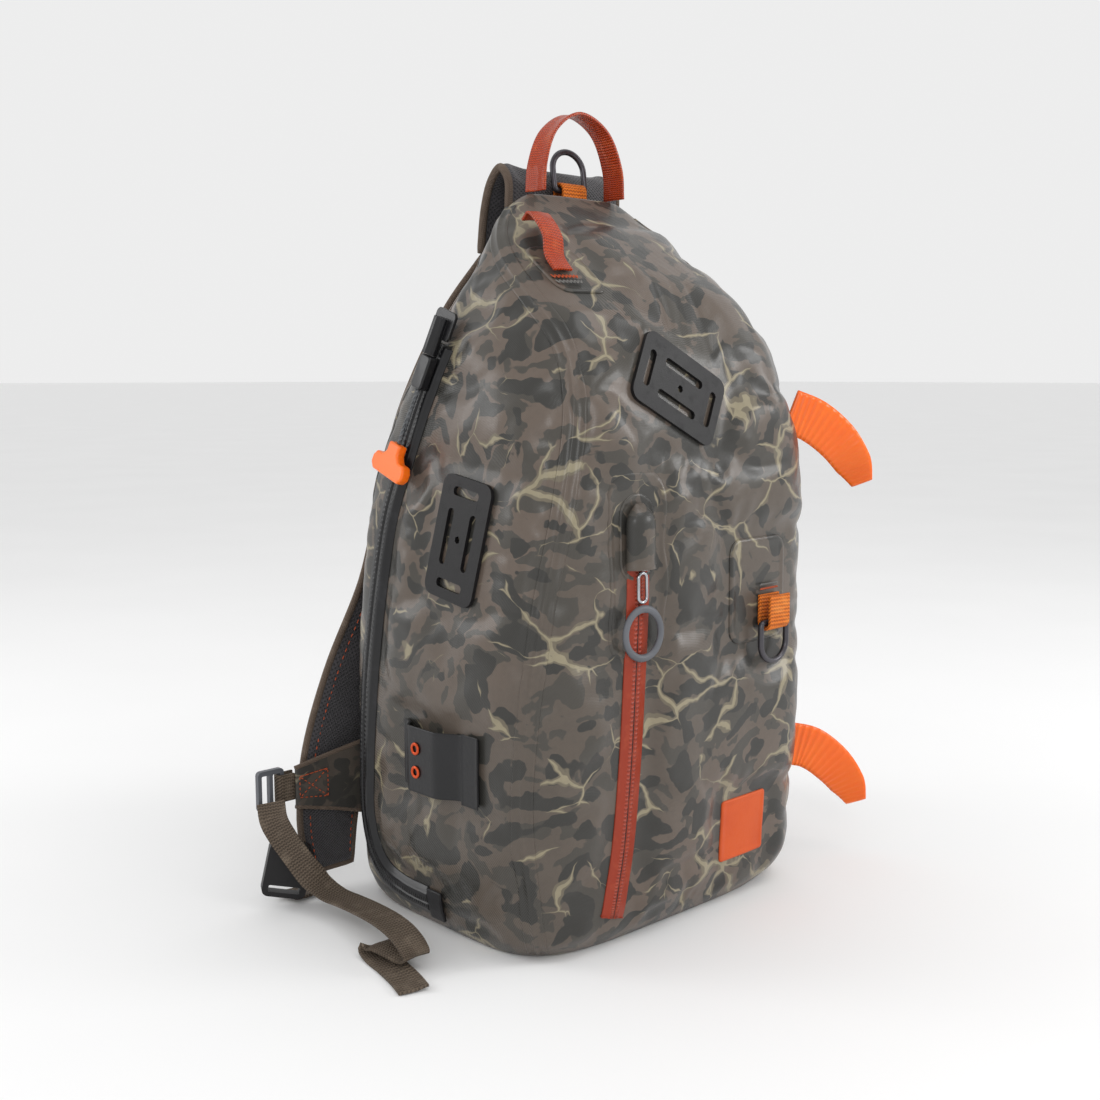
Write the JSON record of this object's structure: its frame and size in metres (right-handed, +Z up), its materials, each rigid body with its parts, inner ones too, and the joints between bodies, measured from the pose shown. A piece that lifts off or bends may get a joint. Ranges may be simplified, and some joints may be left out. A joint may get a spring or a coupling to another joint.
{
  "type": "tackle backpack",
  "caption": "Tall waterproof fishing backpack: welded shell with side zip, front pocket zip, lash plates, rod straps, top handle and padded harness.",
  "frame": {"origin": "middle of the flat base, where the pack stands", "axes": "+Z up along the pack's height, -Y out of the front panel, -X out of the side with the main zip"},
  "size_m": [0.4343, 0.2553, 0.5701],
  "materials": {
    "camo_fabric": "welded waterproof fabric with a riverbed camouflage print, semi-gloss over a fine twill",
    "liner_fabric": "coated lining fabric",
    "black_zip_rubber": "satin black coated tape and moulded rubber",
    "grey_cord": "braided grey cord in a smooth sleeve",
    "orange_rubber": "moulded translucent orange rubber",
    "rust_zip": "coated rust-red zip tape",
    "zip_metal": "bright plated zinc",
    "grey_plastic": "moulded grey plastic",
    "black_plastic": "moulded black plastic with a fine texture",
    "grommet_metal": "orange enamelled eyelet",
    "orange_webbing": "woven orange webbing",
    "ring_metal": "dark anodised ring",
    "rust_webbing": "coated rust-red webbing, glossy",
    "badge_print": "plain orange welded badge",
    "harness_mesh": "spacer mesh over foam with a taupe binding",
    "brown_webbing": "woven taupe webbing"
  },
  "bodies": {
    "pack": {"front_panel": "camo_fabric", "left_side_panel": "camo_fabric", "rear_gusset": "camo_fabric", "back_panel": "camo_fabric", "right_side_panel": "camo_fabric", "base_panel": "camo_fabric", "top_ridge": "camo_fabric", "back_stiffener": "liner_fabric", "inner_slip_pocket": "liner_fabric", "front_pocket_liner": "liner_fabric", "main_zip_front_tape": "black_zip_rubber", "main_zip_rear_tape": "black_zip_rubber", "main_zip_dock": "black_zip_rubber", "main_zip_end_stop": "black_zip_rubber", "pocket_zip_left_tape": "rust_zip", "pocket_zip_right_tape": "rust_zip", "pocket_zip_garage": "camo_fabric", "upper_lash_plate": "black_plastic", "side_lash_plate": "black_plastic", "tool_sleeve": "black_zip_rubber", "sleeve_weld_strip": "black_zip_rubber", "sleeve_grommet_lower": "grommet_metal", "sleeve_grommet_upper": "grommet_metal", "front_ring_patch": "camo_fabric", "front_ring_webbing": "orange_webbing", "lash_loop_patch": "camo_fabric", "lash_loop": "rust_webbing", "top_ring_webbing": "orange_webbing", "front_badge": "badge_print", "rod_strap_anchor_upper": "camo_fabric", "rod_strap_anchor_lower": "camo_fabric", "back_pad": "harness_mesh", "yoke": "harness_mesh", "left_wing": "camo_fabric", "left_wing_loop": "brown_webbing", "right_wing": "camo_fabric", "right_wing_loop": "brown_webbing", "left_webbing_tail": "brown_webbing"},
    "main_slider": {"main_zip_slider": "black_zip_rubber"},
    "main_pull": {"main_zip_pull_cord": "grey_cord", "main_zip_t_pull": "orange_rubber"},
    "pocket_slider": {"pocket_zip_slider": "zip_metal"},
    "slider_bail": {"pocket_slider_bail": "zip_metal"},
    "pull_ring": {"pocket_pull_ring": "grey_plastic"},
    "handle": {"grab_handle": "rust_webbing"},
    "top_ring": {"top_d_ring": "ring_metal"},
    "front_ring": {"front_d_ring": "ring_metal"},
    "upper_rod_strap": {"rod_strap_upper": "orange_rubber"},
    "lower_rod_strap": {"rod_strap_lower": "orange_rubber"},
    "left_lock": {"left_ladder_lock": "grey_plastic"},
    "right_lock": {"right_ladder_lock": "grey_plastic"},
    "left_strap": {"left_shoulder_strap": "harness_mesh", "left_buckle_webbing": "brown_webbing"},
    "right_strap": {"right_shoulder_strap": "harness_mesh", "right_buckle_webbing": "brown_webbing"},
    "left_clip": {"left_buckle": "black_plastic"},
    "right_clip": {"right_buckle": "black_plastic"}
  },
  "joints": [
    {"name": "main_zip_slide", "type": "slide", "parent": "pack", "child": "main_slider", "axis": [-0.1951, 0.3027, -0.9329], "range_m": [0, 0.095]},
    {"name": "main_pull_swing", "type": "hinge", "parent": "main_slider", "child": "main_pull", "pos_m": [-0.13307, 0.03327, 0.37596], "axis": [0.112, 0.9518, 0.2854], "range_deg": [0, 75]},
    {"name": "pocket_zip_slide", "type": "slide", "parent": "pack", "child": "pocket_slider", "axis": [-0.065, 0, -0.9979], "range_m": [0, 0.16]},
    {"name": "pocket_bail_swing", "type": "hinge", "parent": "pocket_slider", "child": "slider_bail", "pos_m": [-0.05815, -0.11062, 0.25784], "axis": [-0.9997, 0.0236, 0], "range_deg": [0, 75]},
    {"name": "pull_ring_swing", "type": "hinge", "parent": "slider_bail", "child": "pull_ring", "pos_m": [-0.05819, -0.1124, 0.23586], "axis": [-0.9997, 0.0236, 0], "range_deg": [0, 70]},
    {"name": "handle_fold", "type": "hinge", "parent": "pack", "child": "handle", "pos_m": [0, 0.01407, 0.5131], "axis": [1, 0, 0], "range_deg": [0, 50], "stiffness_Nm_per_rad": 0.04},
    {"name": "top_ring_tip", "type": "hinge", "parent": "pack", "child": "top_ring", "pos_m": [0.012, 0.03257, 0.519], "axis": [1, 0, 0], "range_deg": [0, 90]},
    {"name": "front_ring_lift", "type": "hinge", "parent": "pack", "child": "front_ring", "pos_m": [0.07837, -0.11201, 0.20806], "axis": [-0.9988, -0.0482, 0], "range_deg": [0, 110]},
    {"name": "upper_rod_strap_bend", "type": "hinge", "parent": "pack", "child": "upper_rod_strap", "pos_m": [0.1425, -0.0735, 0.356], "axis": [0, 0, 1], "range_deg": [-30, 24], "stiffness_Nm_per_rad": 0.05},
    {"name": "lower_rod_strap_bend", "type": "hinge", "parent": "pack", "child": "lower_rod_strap", "pos_m": [0.1505, -0.0725, 0.096], "axis": [0, 0, 1], "range_deg": [-30, 45], "stiffness_Nm_per_rad": 0.05},
    {"name": "left_lock_tilt", "type": "hinge", "parent": "pack", "child": "left_lock", "pos_m": [-0.1885, 0.1275, 0.086], "axis": [0, 0, -1], "range_deg": [0, 25]},
    {"name": "right_lock_tilt", "type": "hinge", "parent": "pack", "child": "right_lock", "pos_m": [0.1885, 0.1275, 0.086], "axis": [0, 0, 1], "range_deg": [0, 25]},
    {"name": "left_strap_swing", "type": "hinge", "parent": "pack", "child": "left_strap", "pos_m": [-0.015, 0.0824, 0.4764], "axis": [1, 0, 0], "range_deg": [0, 30]},
    {"name": "right_strap_swing", "type": "hinge", "parent": "pack", "child": "right_strap", "pos_m": [0.047, 0.0824, 0.4764], "axis": [1, 0, 0], "range_deg": [0, 30]},
    {"name": "left_clip_swing", "type": "hinge", "parent": "left_strap", "child": "left_clip", "pos_m": [-0.19483, 0.11742, 0.01406], "axis": [-0.4472, -0.8944, 0], "range_deg": [0, 40]},
    {"name": "right_clip_swing", "type": "hinge", "parent": "right_strap", "child": "right_clip", "pos_m": [0.19483, 0.11742, 0.01406], "axis": [-0.4472, 0.8944, 0], "range_deg": [0, 40]}
  ]
}
